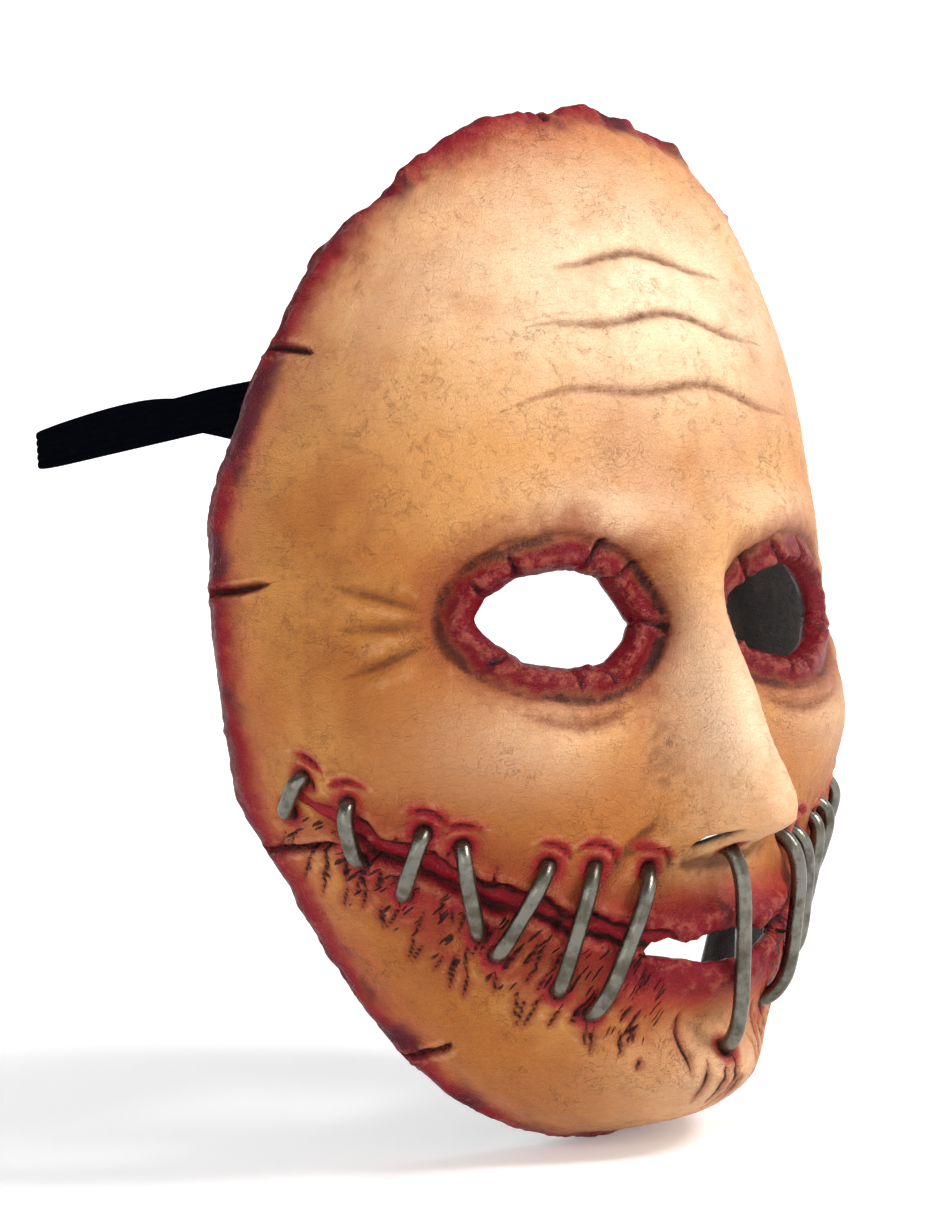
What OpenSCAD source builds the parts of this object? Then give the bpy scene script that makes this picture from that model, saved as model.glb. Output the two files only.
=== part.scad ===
// Latex face mask with wire staples across the mouth seam and an elastic head strap.
// Frame: +Z up, the face looks along -Y, the wearer's right is -X. The origin is on the
// eye line, midway between the temples, in the plane of the mask's open back.

/* [Latex face] */
// Height from the chin's edge to the crown's
mask_h = 245; // [230:1:260]
// Width across the temples
mask_w = 174; // [168:1:180]
// Depth from the temples' edge to the blank's front, without the nose
mask_d = 71; // [66:1:80]
// How far the torn edge comes forward at the crown
crown_set = 42; // [30:1:50]
// How far the torn edge comes forward under the chin
chin_set = 22; // [10:1:30]
// Thickness of the latex
skin_t = 3; // [2.5:0.1:3.5]
// How uneven the torn edge is
tear = 3; // [0:0.5:4]

/* [Openings] */
// Width of each eye opening
eye_w = 42; // [38:1:44]
// Height of each eye opening
eye_h = 25; // [20:1:28]
// Width of the slot between the lips
slot_w = 44; // [36:1:50]
// Height of the slot between the lips
slot_h = 8; // [7:0.5:10]
// Width of each nostril
nostril_w = 8; // [7:0.5:9]

/* [Staples] */
// Diameter of the staple wire
wire_d = 3.8; // [3.2:0.1:4.4]
// Length of the middle staple, foot to foot
centre_staple = 46; // [42:1:50]
// Length of the staple nearest the middle on each side
first_staple = 40; // [36:1:43]
// Length of each staple as a share of the one before it
staple_shrink = 0.8; // [0.78:0.01:0.83]
// Clear height of the wire over the skin
staple_lift = 0.6; // [0.4:0.1:1.5]

/* [Strap] */
// Width of the elastic
strap_w = 10; // [8:1:12]
// Thickness of the elastic
strap_t = 1.4; // [1.2:0.1:1.6]
// How far the loop reaches behind the open back
strap_reach = 160; // [140:1:190]
// How steeply the loop rises towards the crown, in degrees
strap_rise = 1; // [0:1:12]
// How far the loop rides up behind the head
strap_arch = 20; // [0:1:24]
// Height of the strap over the eye line
strap_z = 58; // [48:1:60]

/* [Hidden] */
SIDES = [["right", -1], ["left", 1]];
SIDE_STAPLES = 7;

half_w = mask_w / 2;
half_h = mask_h / 2;
round_n = 2.3;              // how full the head's rounding is: 2 is an ellipsoid
third = mask_h / 3.5;       // hairline to brow, brow to nose base, nose base to chin
brow_z = third / 4;
nose_z = brow_z - third;
mouth_z = nose_z - third / 3;
chin_z = nose_z - third * 0.78;
eye_x = mask_w / 5.1;       // the face is five eye widths across
eye_tilt = 4;
nostril_x = 8.5;
jaw_taper = 0.3;            // share of the width that the chin gives up
jaw_fill = 0.46;            // how far the lower face is drawn down

COLUMNS = 42;
ROWS = 56;
GRADE = 0.62;               // cell size at the face's middle against the mean
GRID_DEPTH = 96;            // a deeper grid has smaller cells towards the edge

// Openings: centre x, centre z, half width, half height, roundness, tilt
OPENINGS = [
    [-eye_x, 0, eye_w / 2, eye_h / 2, 1.8, -eye_tilt],
    [eye_x, 0, eye_w / 2, eye_h / 2, 1.8, eye_tilt],
    [0, mouth_z, slot_w / 2, slot_h / 2, 2.2, 0],
    [-nostril_x, nose_z + 1, nostril_w / 2, 3, 2, 0],
    [nostril_x, nose_z + 1, nostril_w / 2, 3, 2, 0],
];

function blend(a, b, t) = let (s = min(max((t - a) / (b - a), 0), 1)) s * s * (3 - 2 * s);
function bell(d, w) = exp(-pow(d / w, 2));
function mound(x, z, at_x, at_z, wide, tall) = bell(x - at_x, wide) * bell(z - at_z, tall);
function pair(x, z, at_x, at_z, wide, tall) = mound(abs(x), z, at_x, at_z, wide, tall);

// ---- The sculpted face -------------------------------------------------------------

// The blank is a rounded egg. Below the eyes it is drawn down, which fills out the chin:
// level() gives the egg's own height for a height on the face, and lowered() goes back.
function lowered(z) = z >= 0 ? z : z * (1 + jaw_fill * (1 + z / half_h));
function level(z) =
    z >= 0 ? z :
    -half_h * (1 + jaw_fill - sqrt(pow(1 + jaw_fill, 2) + 4 * jaw_fill * z / half_h)) / (2 * jaw_fill);

// Width of the head at a height, as a share of the egg's
function taper(z) = 1 - jaw_taper * blend(-10, -half_h, z) - 0.04 * blend(0, half_h, z);

// Depth of the blank before its edge, 0 at the edge and 1 at the deepest point
function depth(x, z) =
    pow(max(1 - pow(abs(x / taper(z)) / half_w, round_n) - pow(abs(level(z)) / half_h, round_n), 0),
        1 / round_n);

// The edge lies in the plane of the temples and comes forward above and below them
function edge_set(z) = (z >= 0 ? crown_set : chin_set) * pow(z / half_h, 2);

// The nose: a round ridge that widens downwards, a ball at its tip and the two wings
function nose(x, z) =
    let (
        ridge = 4 + 14 * blend(brow_z + 2, nose_z + 14, z),
        wide = 8.5 + 3.5 * blend(brow_z - 12, nose_z + 6, z),
        begins = blend(brow_z + 8, brow_z - 12, z),
        ends = blend(nose_z - 5, nose_z + 5, z)
    )
    ends * (ridge * begins * exp(-pow(abs(x) / wide, 2.8))
        + 7 * mound(x, z, 0, nose_z + 9, 11, 10)
        + 6.5 * pair(x, z, 14.5, nose_z + 6, 7, 8));

// Everything that stands off the blank or sinks into it, forward positive
function relief(x, z) =
    nose(x, z)
    + 5 * pair(x, z, 26, brow_z + 4, 24, 9)          // brow
    + 3 * mound(x, z, 0, brow_z, 14, 12)             // between the brows
    + 3 * mound(x, z, 0, brow_z + 42, 46, 24)        // forehead
    - 11 * pair(x, z, eye_x - 1, 0, 21, 13)          // eye sockets
    - 4 * pair(x, z, 17, 1, 7, 9)                    // inner corners of the eyes
    + 6 * pair(x, z, 50, -26, 22, 17)                // cheekbones
    - 4 * pair(x, z, 50, mouth_z + 8, 17, 20)        // hollow of the cheeks
    + 6 * mound(x, z, 0, mouth_z, 30, 20)            // teeth behind the lips
    + 4 * mound(x, z, 0, mouth_z + 6.5, 24, 4.5)     // upper lip
    + 5 * mound(x, z, 0, mouth_z - 7.5, 21, 5.5)     // lower lip
    - 4 * mound(x, z, 0, mouth_z - 19, 22, 6)        // fold over the chin
    + 17 * mound(x, z, 0, chin_z, 25, 15)            // chin
    - 3 * pair(x, z, 74, brow_z + 10, 14, 26);       // temples

// How far the torn edge runs back at an angle round the rim
function torn(turn) = tear * (0.5 * sin(5 * turn + 20) + 0.3 * sin(9 * turn + 70) + 0.2 * sin(16 * turn));

function skin(x, z) =
    let (d = depth(x, z), set = edge_set(z))
    [x, torn(atan2(z, x)) * (1 - blend(0, 0.45, d)) - set - (mask_d - set) * d
        - relief(x, z) * blend(0.1, 0.5, d), z];

// A point of the skin by its bearing from the front and its height
function skin_at(bearing, z) =
    let (
        room = max(1 - pow(abs(level(z)) / half_h, round_n), 0),
        r = pow(room / (pow(abs(sin(bearing)) / half_w, round_n)
            + pow(cos(bearing) / mask_d, round_n)), 1 / round_n)
    )
    skin(r * sin(bearing) * taper(z), z);

// Place in the front view of a grid point, u and v from -1 to 1
function plan(u, v) =
    let (
        s = u * sqrt(1 - v * v / 2),
        t = v * sqrt(1 - u * u / 2),
        rho = max(sqrt(s * s + t * t), 0.0001),
        d = [sin(90 * rho) * s / rho, cos(90 * rho), sin(90 * rho) * t / rho],
        r = pow(pow(abs(d.x) / half_w, round_n) + pow(abs(d.y) / GRID_DEPTH, round_n)
            + pow(abs(d.z) / half_h, round_n), -1 / round_n),
        z = lowered(r * d.z)
    )
    [r * d.x * taper(z), z];

function grade(i, n) = let (t = 2 * i / n - 1) t * (GRADE + (1 - GRADE) * t * t);
function grid(i, j) = plan(grade(i, COLUMNS), grade(j, ROWS));

// Distance of a front-view point from an opening's middle, 1 on its outline
function in_opening(p, o) =
    let (
        d = p - [o[0], o[1]],
        a = d.x * cos(o[5]) + d.y * sin(o[5]),
        b = d.y * cos(o[5]) - d.x * sin(o[5])
    )
    pow(pow(abs(a) / o[2], o[4]) + pow(abs(b) / o[3], o[4]), 1 / o[4]);

// Which opening a cell's middle falls in, or -1
function cut_by(i, j) =
    i < 0 || j < 0 || i >= COLUMNS || j >= ROWS ? -1 :
    let (
        m = (grid(i, j) + grid(i + 1, j + 1)) / 2,
        hit = [for (k = [0 : len(OPENINGS) - 1]) if (in_opening(m, OPENINGS[k]) < 1) k]
    )
    len(hit) == 0 ? -1 : hit[0];
CUT = [for (i = [-1 : COLUMNS]) [for (j = [-1 : ROWS]) cut_by(i, j)]];
function cut(i, j) = CUT[i + 1][j + 1];

// A grid point in the front view; one on the edge of an opening moves onto its outline
function fitted(i, j) =
    let (
        p = grid(i, j),
        near = [cut(i - 1, j - 1), cut(i, j - 1), cut(i - 1, j), cut(i, j)],
        k = max(near)
    )
    k < 0 || min(near) >= 0 ? p :
    let (c = [OPENINGS[k][0], OPENINGS[k][1]]) c + (p - c) / in_opening(p, OPENINGS[k]);

function outward(i, j) =
    let (
        u = min(max(grade(i, COLUMNS), -0.98), 0.98),
        v = min(max(grade(j, ROWS), -0.98), 0.98),
        e = 0.02,
        east = plan(u + e, v), west = plan(u - e, v),
        north = plan(u, v + e), south = plan(u, v - e),
        n = cross(skin(east[0], east[1]) - skin(west[0], west[1]),
            skin(north[0], north[1]) - skin(south[0], south[1]))
    )
    n / norm(n);

module latex_face() {
    across = COLUMNS + 1;
    layer = across * (ROWS + 1);
    spots = [for (j = [0 : ROWS], i = [0 : COLUMNS]) [i, j]];
    outer = [for (s = spots) let (p = fitted(s.x, s.y)) skin(p.x, p.y)];
    normals = [for (s = spots) outward(s.x, s.y)];
    inner = [for (k = [0 : layer - 1]) outer[k] - skin_t * normals[k]];
    cells = [for (j = [0 : ROWS - 1], i = [0 : COLUMNS - 1]) if (cut(i, j) < 0) [i, j]];
    function at(i, j) = j * across + i;
    function open(i, j) = i < 0 || j < 0 || i >= COLUMNS || j >= ROWS || cut(i, j) >= 0;
    // A wall joins the layers along each side of a cell that faces an opening or the rim
    function wall(a, b) = [[a, b, b + layer], [a, b + layer, a + layer]];
    faces = [for (c = cells) let (i = c.x, j = c.y,
            a = at(i, j), b = at(i + 1, j), d = at(i + 1, j + 1), e = at(i, j + 1))
        each concat(
            [[a, d, b], [a, e, d], [a + layer, b + layer, d + layer], [a + layer, d + layer, e + layer]],
            open(i, j - 1) ? wall(a, b) : [],
            open(i + 1, j) ? wall(b, d) : [],
            open(i, j + 1) ? wall(d, e) : [],
            open(i - 1, j) ? wall(e, a) : []
        )];
    color([0.80, 0.60, 0.38]) polyhedron(concat(outer, inner), faces, convexity = 8);
}

// ---- Staples across the mouth seam -------------------------------------------------

SEAM_RISE = 42;             // how much the seam climbs from the lips to its ends
SEAM_END = 77;              // bearing of its ends
FIRST_BEARING = 26;
BEARING_STEP = 8.4;
// How far each side staple leans towards the middle, in degrees, right then left
LEANS = [[36, 30, 40, 2, 32, 6, 42], [6, 14, -4, 20, 10, 26, 34]];
SHARE_OVER = 0.45;          // of a staple's length lies above the seam
WIRE_SIDES = 8;
WIRE_STEPS = 16;
CORNER = 0.5;               // 1 bends the wire into a half circle, less makes it squarer

function seam_z(bearing) = mouth_z + SEAM_RISE * pow(bearing / SEAM_END, 2);

// Outward direction of the skin
function facing(bearing, z) =
    let (
        e = 1,
        n = cross(skin_at(bearing + e, z) - skin_at(bearing - e, z),
            skin_at(bearing, z + e) - skin_at(bearing, z - e))
    )
    n / norm(n);

// Middle line of a wire between two feet, each a bearing and a height. The wire arches
// over whatever skin lies between, and its legs go through the latex.
function wire_path(a, b) =
    let (
        from = skin_at(a[0], a[1]),
        to = skin_at(b[0], b[1]),
        up = facing((a[0] + b[0]) / 2, (a[1] + b[1]) / 2),
        along = (to - from) / norm(to - from),
        out = (up - along * (up * along)) / norm(up - along * (up * along)),
        over = max([for (t = [0.1 : 0.1 : 0.9])
            let (p = skin_at(a[0] + t * (b[0] - a[0]), a[1] + t * (b[1] - a[1])))
            (p - from - t * (to - from)) * out / (1 - pow(2 * t - 1, 2))]),
        top = staple_lift + wire_d / 2,
        dip = skin_t + 2
    )
    [for (k = [0 : WIRE_STEPS])
        let (
            turn = 180 * k / WIRE_STEPS - 90,
            w = sign(turn) * pow(abs(sin(turn)), CORNER),
            h = (top + dip) * pow(max(cos(turn), 0), CORNER) - dip
        )
        (from + to) / 2 + w * (to - from) / 2 + out * (h + max(over, 0) * (1 - w * w))];

// A round wire along a path that lies in one plane
module wire(path) {
    n = len(path) - 1;
    m = floor(n / 2);
    side = cross(path[n] - path[0], path[m] - path[0]);
    rings = [for (k = [0 : n])
        let (
            ahead = path[min(k + 1, n)] - path[max(k - 1, 0)],
            up = cross(ahead / norm(ahead), side / norm(side))
        )
        for (i = [0 : WIRE_SIDES - 1])
            let (turn = 360 * i / WIRE_SIDES)
            path[k] + wire_d / 2 * (cos(turn) * side / norm(side) + sin(turn) * up)];
    function at(k, i) = k * WIRE_SIDES + i % WIRE_SIDES;
    faces = [for (k = [0 : n - 1], i = [0 : WIRE_SIDES - 1])
        each [[at(k, i), at(k + 1, i + 1), at(k, i + 1)], [at(k, i), at(k + 1, i), at(k + 1, i + 1)]]];
    first = [for (i = [0 : WIRE_SIDES - 1]) at(0, i)];
    last = [for (i = [WIRE_SIDES - 1 : -1 : 0]) at(n, i)];
    color([0.52, 0.52, 0.48]) polyhedron(rings, concat(faces, [first, last]), convexity = 4);
}

module staple_centre() {
    wire(wire_path([0, mouth_z + centre_staple / 2 - 1], [0, mouth_z - centre_staple / 2 - 1]));
}

// Staple k of a side, counted from the middle; side is -1 or 1
module side_staple(side, k) {
    length = first_staple * pow(staple_shrink, k - 1);
    bearing = FIRST_BEARING + BEARING_STEP * (k - 1);
    reach = norm([skin_at(bearing, seam_z(bearing)).x, skin_at(bearing, seam_z(bearing)).y]);
    lean = LEANS[side > 0 ? 1 : 0][k - 1];
    swing = length * sin(lean) / reach * 180 / PI;
    tall = length * cos(lean);
    high = [side * (bearing - swing * SHARE_OVER), seam_z(bearing) + tall * SHARE_OVER];
    low = [side * (bearing + swing * (1 - SHARE_OVER)), seam_z(bearing) - tall * (1 - SHARE_OVER)];
    wire(wire_path(high, low));
}

// ---- Elastic strap and the tabs that hold it, drawn on the left and mirrored ---------

TAB_BEARING = 82;
TAB_SPREAD = 8;             // the tab's half width, as a bearing
TAB_H = 20;
TAB_T = 1.2;
TAB_CELLS = 8;
GLUE = 0.8;                 // clear of the facets of the skin
HINGE_GAP = 0.6;
BACK_STEPS = 48;
ARCH_SOFT = 0.2;            // rounds the top of the arch, as a share of the loop's radius

tab_spot = skin_at(TAB_BEARING, strap_z);
tab_out = facing(TAB_BEARING, strap_z);
tab_back = let (t = skin_at(TAB_BEARING + 1, strap_z) - skin_at(TAB_BEARING - 1, strap_z)) t / norm(t);
tab_up = cross(tab_out, tab_back);
end_front = -6;            // of the sewn-down end, along tab_back from tab_spot
end_back = 17;
hinge_back = end_back + strap_w / 2 + HINGE_GAP;
hinge = tab_spot - tab_out * (skin_t + GLUE + strap_t / 2) + tab_back * hinge_back;
loop_r = hinge.x;

// The flat end of the elastic, under the tab and out past the rim
module strap_end() {
    place = [for (r = [0 : 2]) [tab_back[r], tab_up[r], tab_out[r], tab_spot[r]]];
    color([0.05, 0.05, 0.06])
        multmatrix([place[0], place[1], place[2], [0, 0, 0, 1]])
            translate([end_front, -strap_w / 2, -skin_t - GLUE - strap_t])
                cube([end_back - end_front, strap_w, strap_t]);
}

// A patch glued to the inside of the latex, raised in the middle over the elastic
module strap_tab() {
    across = TAB_CELLS + 1;
    spots = [for (j = [0 : TAB_CELLS], i = [0 : TAB_CELLS]) [2 * i / TAB_CELLS - 1, 2 * j / TAB_CELLS - 1]];
    function raised(s) = (strap_t + 0.5) * (1 - blend(0.55, 0.85, abs(s.y))) * blend(-0.98, -0.7, s.x);
    function under(s, deep) =
        let (b = TAB_BEARING - 1 + s.x * (TAB_SPREAD - 1), z = strap_z + s.y * TAB_H / 2)
        skin_at(b, z) - facing(b, z) * (skin_t + GLUE + raised(s) + deep);
    points = concat([for (s = spots) under(s, 0)], [for (s = spots) under(s, TAB_T)]);
    layer = across * across;
    function at(i, j) = j * across + i;
    rim = concat(
        [for (i = [0 : TAB_CELLS]) at(i, 0)], [for (j = [1 : TAB_CELLS]) at(TAB_CELLS, j)],
        [for (i = [TAB_CELLS - 1 : -1 : 0]) at(i, TAB_CELLS)], [for (j = [TAB_CELLS - 1 : -1 : 1]) at(0, j)]
    );
    turns = len(rim);
    faces = concat(
        [for (j = [0 : TAB_CELLS - 1], i = [0 : TAB_CELLS - 1]) let (
                a = at(i, j), b = at(i + 1, j), d = at(i + 1, j + 1), e = at(i, j + 1))
            each [[a, d, b], [a, e, d],
                [a + layer, b + layer, d + layer], [a + layer, d + layer, e + layer]]],
        [for (k = [0 : turns - 1]) let (a = rim[k], b = rim[(k + 1) % turns])
            each [[a, b, b + layer], [a, b + layer, a + layer]]]
    );
    color([0.70, 0.62, 0.50]) polyhedron(points, faces, convexity = 4);
}

// How far the loop has risen at a turn round the back, from 0 on the left to 180 on the right
function arch(turn) =
    strap_arch * (norm([1, ARCH_SOFT]) - norm([cos(turn), ARCH_SOFT])) / (norm([1, ARCH_SOFT]) - ARCH_SOFT);

// A flat band, straight at the sides and curved behind the head
module band(straight) {
    turns = [for (k = [0 : BACK_STEPS]) 180 * k / BACK_STEPS];
    bend = [for (t = turns) [loop_r * cos(t), straight + loop_r * sin(t), arch(t)]];
    path = concat([[loop_r, 0, 0]], bend, [[-loop_r, 0, 0]]);
    outward = concat([[1, 0, 0]], [for (t = turns) [cos(t), sin(t), 0]], [[-1, 0, 0]]);
    n = len(path) - 1;
    corners = [for (k = [0 : n])
        let (
            ahead = path[min(k + 1, n)] - path[max(k - 1, 0)],
            up = cross(outward[k], ahead) / norm(cross(outward[k], ahead))
        )
        for (c = [[-1, -1], [-1, 1], [1, 1], [1, -1]])
            path[k] + c.x * strap_t / 2 * outward[k] + c.y * strap_w / 2 * up];
    function at(k, i) = k * 4 + i % 4;
    faces = [for (k = [0 : n - 1], i = [0 : 3])
        each [[at(k, i), at(k + 1, i + 1), at(k, i + 1)], [at(k, i), at(k + 1, i), at(k + 1, i + 1)]]];
    last = [for (i = [3 : -1 : 0]) at(n, i)];
    polyhedron(corners, concat(faces, [[0, 1, 2, 3], last]), convexity = 6);
}

// The loop that goes round the head, with a round end at each hinge point
module elastic_strap() {
    color([0.05, 0.05, 0.06]) translate([0, hinge.y, hinge.z]) rotate([strap_rise, 0, 0]) {
        band(strap_reach - hinge.y - loop_r);
        for (side = [-1, 1])
            translate([side * loop_r - strap_t / 2, 0, 0])
                rotate([0, 90, 0]) cylinder(h = strap_t, d = 0.92 * strap_w, $fn = 48);
    }
}

module on_side(side) {
    if (side > 0) children();
    else mirror([1, 0, 0]) children();
}

latex_face();
elastic_strap();
staple_centre();
for (s = SIDES) {
    on_side(s[1]) strap_tab();
    on_side(s[1]) strap_end();
    for (k = [1 : SIDE_STAPLES])
        side_staple(s[1], k);
}
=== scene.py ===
import math
from collections import namedtuple

import bpy
import numpy as np
from mathutils import Matrix, Vector


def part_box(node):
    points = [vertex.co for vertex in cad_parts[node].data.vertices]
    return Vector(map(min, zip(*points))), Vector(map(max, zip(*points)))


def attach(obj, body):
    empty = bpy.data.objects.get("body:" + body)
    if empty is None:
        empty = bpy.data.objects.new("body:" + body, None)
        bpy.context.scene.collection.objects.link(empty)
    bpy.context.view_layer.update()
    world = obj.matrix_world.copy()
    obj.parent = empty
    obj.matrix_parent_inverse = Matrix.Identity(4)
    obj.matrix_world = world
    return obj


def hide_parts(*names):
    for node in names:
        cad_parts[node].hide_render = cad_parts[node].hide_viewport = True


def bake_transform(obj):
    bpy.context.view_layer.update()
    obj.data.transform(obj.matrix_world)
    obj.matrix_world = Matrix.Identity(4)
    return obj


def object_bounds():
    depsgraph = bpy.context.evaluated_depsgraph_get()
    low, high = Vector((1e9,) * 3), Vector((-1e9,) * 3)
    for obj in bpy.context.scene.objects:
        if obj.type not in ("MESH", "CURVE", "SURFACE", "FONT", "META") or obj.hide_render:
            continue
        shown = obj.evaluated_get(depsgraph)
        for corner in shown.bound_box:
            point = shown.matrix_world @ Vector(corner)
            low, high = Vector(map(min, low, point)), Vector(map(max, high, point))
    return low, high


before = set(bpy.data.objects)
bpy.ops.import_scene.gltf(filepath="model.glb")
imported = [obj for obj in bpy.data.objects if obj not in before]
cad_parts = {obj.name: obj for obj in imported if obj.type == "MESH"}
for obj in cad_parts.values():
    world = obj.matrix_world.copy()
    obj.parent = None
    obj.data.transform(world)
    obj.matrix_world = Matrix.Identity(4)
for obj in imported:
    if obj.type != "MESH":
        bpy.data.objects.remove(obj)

cad_low, cad_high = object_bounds()

# ---- Sizes, in millimetres, in the CAD model's frame ---------------------------------
# The face looks along -Y, the wearer's right is -X, and the origin is on the eye line.

MM = 0.001
face_low, face_high = (np.array(corner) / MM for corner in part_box("latex_face"))
mask_w = face_high[0] - face_low[0]
mask_h = face_high[2] - face_low[2]
half_w, half_h = mask_w / 2, mask_h / 2
mask_d = 71.0               # depth of the blank, without the nose
crown_set, chin_set = 42.0, 22.0
skin_t = 3.0
tear = 3.0
round_n = 2.3
jaw_taper, jaw_fill = 0.3, 0.46
third = mask_h / 3.5        # hairline to brow, brow to nose base, nose base to chin
brow_z = third / 4
nose_z = brow_z - third
mouth_z = nose_z - third / 3
chin_z = nose_z - third * 0.78
eye_x = mask_w / 5.1
nostril_x = 8.5

# Openings: half width and half height, roundness, and tilt in degrees
Opening = namedtuple("Opening", "x z wide tall power tilt")
EYES = [Opening(side * eye_x, 0, 21.0, 12.5, 1.8, side * 4) for side in (-1, 1)]
SLOT = Opening(0, mouth_z, 22.0, 4.0, 2.2, 0)
NOSTRILS = [Opening(side * nostril_x, nose_z + 1, 4.0, 3.0, 2, 0) for side in (-1, 1)]
OPENINGS = EYES + [SLOT] + NOSTRILS

# Staples
wire_d = 3.8
centre_staple = 46.0
first_staple = 40.0
staple_shrink = 0.8
staple_lift = 0.6
SIDE_STAPLES = 7
SEAM_RISE, SEAM_END = 42.0, 77.0
FIRST_BEARING, BEARING_STEP = 26.0, 8.4
LEANS = {-1: [36, 30, 40, 2, 32, 6, 42], 1: [6, 14, -4, 20, 10, 26, 34]}
SHARE_OVER = 0.45
HATCH_REACH, HATCH_LEAN = 82.0, 42.0   # the skin's distance from the head's middle, and the cuts' lean
SIDE_NAMES = {-1: "right", 1: "left"}

# Strap
strap_w, strap_t = 10.0, 1.4
strap_rise = 1.0
ARCH_SOFT = 0.2
strap_z = 58.0
TAB_BEARING, TAB_SPREAD, TAB_H, TAB_T = 82.0, 8.0, 20.0, 1.2
GLUE = 0.8
END_FRONT, END_BACK, HINGE_GAP = -6.0, 17.0, 0.6
strap_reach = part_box("elastic_strap")[1][1] / MM


# ---- Small maths ---------------------------------------------------------------------

def blend(a, b, t):
    s = np.clip((t - a) / (b - a), 0, 1)
    return s * s * (3 - 2 * s)


def bell(d, width):
    return np.exp(-(d / width) ** 2)


def unit(v):
    return v / np.maximum(np.linalg.norm(v, axis=-1, keepdims=True), 1e-9)


HASH_AXES = np.array([374761393, 668265263, 2147483647])    # a large prime for each axis
HASH_SEED, HASH_MIX = 974711, 1274126177
WORD = 0xFFFFFFFF


def value_noise(p, seed=0):
    """Smooth noise from -1 to 1 at points p, one bump to about two units."""
    cell = np.floor(p).astype(np.int64)
    f = p - cell
    f = f * f * (3 - 2 * f)
    total = 0.0
    for corner in np.ndindex(2, 2, 2):
        q = cell + np.array(corner)
        h = ((q * HASH_AXES).sum(-1) + seed * HASH_SEED) & WORD
        h = ((h ^ (h >> 13)) * HASH_MIX) & WORD
        h = h ^ (h >> 16)
        weight = np.prod(np.where(np.array(corner) == 1, f, 1 - f), axis=-1)
        total = total + weight * ((h & 0xFFFF) / 32767.5 - 1)
    return total


def lumps(p, size, seed=0, octaves=3):
    """Layered noise with its largest bumps about size across."""
    total, share = 0.0, 1.0
    for k in range(octaves):
        total = total + share * value_noise(p / (size / 2) * 2 ** k + 17.3 * k, seed + k)
        share *= 0.5
    return total


# ---- The sculpted face, by the same rules as the CAD model -----------------------------

def mound(x, z, at_x, at_z, wide, tall):
    return bell(x - at_x, wide) * bell(z - at_z, tall)


def pair(x, z, at_x, at_z, wide, tall):
    return mound(np.abs(x), z, at_x, at_z, wide, tall)


def lowered(z):
    return np.where(z >= 0, z, z * (1 + jaw_fill * (1 + z / half_h)))


def level(z):
    below = np.minimum(z, 0) / half_h
    root = np.sqrt(np.maximum((1 + jaw_fill) ** 2 + 4 * jaw_fill * below, 0))
    return np.where(z >= 0, z, -half_h * (1 + jaw_fill - root) / (2 * jaw_fill))


def taper(z):
    return 1 - jaw_taper * blend(-10, -half_h, z) - 0.04 * blend(0, half_h, z)


def depth(x, z):
    room = 1 - np.abs(x / taper(z) / half_w) ** round_n - np.abs(level(z) / half_h) ** round_n
    return np.maximum(room, 0) ** (1 / round_n)


def edge_set(z):
    return np.where(z >= 0, crown_set, chin_set) * (z / half_h) ** 2


def nose(x, z):
    ridge = 4 + 14 * blend(brow_z + 2, nose_z + 14, z)
    wide = 8.5 + 3.5 * blend(brow_z - 12, nose_z + 6, z)
    begins = blend(brow_z + 8, brow_z - 12, z)
    ends = blend(nose_z - 5, nose_z + 5, z)
    return ends * (ridge * begins * np.exp(-(np.abs(x) / wide) ** 2.8)
                   + 7 * mound(x, z, 0, nose_z + 9, 11, 10)
                   + 6.5 * pair(x, z, 14.5, nose_z + 6, 7, 8))


def relief(x, z):
    return (nose(x, z)
            + 5 * pair(x, z, 26, brow_z + 4, 24, 9)          # brow
            + 3 * mound(x, z, 0, brow_z, 14, 12)             # between the brows
            + 3 * mound(x, z, 0, brow_z + 42, 46, 24)        # forehead
            - 11 * pair(x, z, eye_x - 1, 0, 21, 13)          # eye sockets
            - 4 * pair(x, z, 17, 1, 7, 9)                    # inner corners of the eyes
            + 6 * pair(x, z, 50, -26, 22, 17)                # cheekbones
            - 4 * pair(x, z, 50, mouth_z + 8, 17, 20)        # hollow of the cheeks
            + 6 * mound(x, z, 0, mouth_z, 30, 20)            # teeth behind the lips
            + 4 * mound(x, z, 0, mouth_z + 6.5, 24, 4.5)     # upper lip
            + 5 * mound(x, z, 0, mouth_z - 7.5, 21, 5.5)     # lower lip
            - 4 * mound(x, z, 0, mouth_z - 19, 22, 6)        # fold over the chin
            + 17 * mound(x, z, 0, chin_z, 25, 15)            # chin
            - 3 * pair(x, z, 74, brow_z + 10, 14, 26))       # temples


def torn(turn):
    return tear * (0.5 * np.sin(5 * turn + math.radians(20)) + 0.3 * np.sin(9 * turn + math.radians(70))
                   + 0.2 * np.sin(16 * turn))


def skin(x, z):
    x, z = np.asarray(x, float), np.asarray(z, float)
    d, forward = depth(x, z), edge_set(z)
    y = (torn(np.arctan2(z, x)) * (1 - blend(0, 0.45, d)) - forward - (mask_d - forward) * d
         - relief(x, z) * blend(0.1, 0.5, d))
    return np.stack([x, y, z], -1)


def skin_at(bearing, z):
    """A point of the skin by its bearing from the front, in degrees, and its height."""
    turn, z = np.radians(bearing), np.asarray(z, float)
    room = np.maximum(1 - np.abs(level(z) / half_h) ** round_n, 0)
    r = (room / (np.abs(np.sin(turn) / half_w) ** round_n
                 + np.abs(np.cos(turn) / mask_d) ** round_n)) ** (1 / round_n)
    return skin(r * np.sin(turn) * taper(z), z)


def facing(bearing, z):
    step = 1.0
    return unit(np.cross(skin_at(bearing + step, z) - skin_at(bearing - step, z),
                         skin_at(bearing, z + step) - skin_at(bearing, z - step)))


def seam_z(bearing):
    return mouth_z + SEAM_RISE * (bearing / SEAM_END) ** 2


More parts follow.
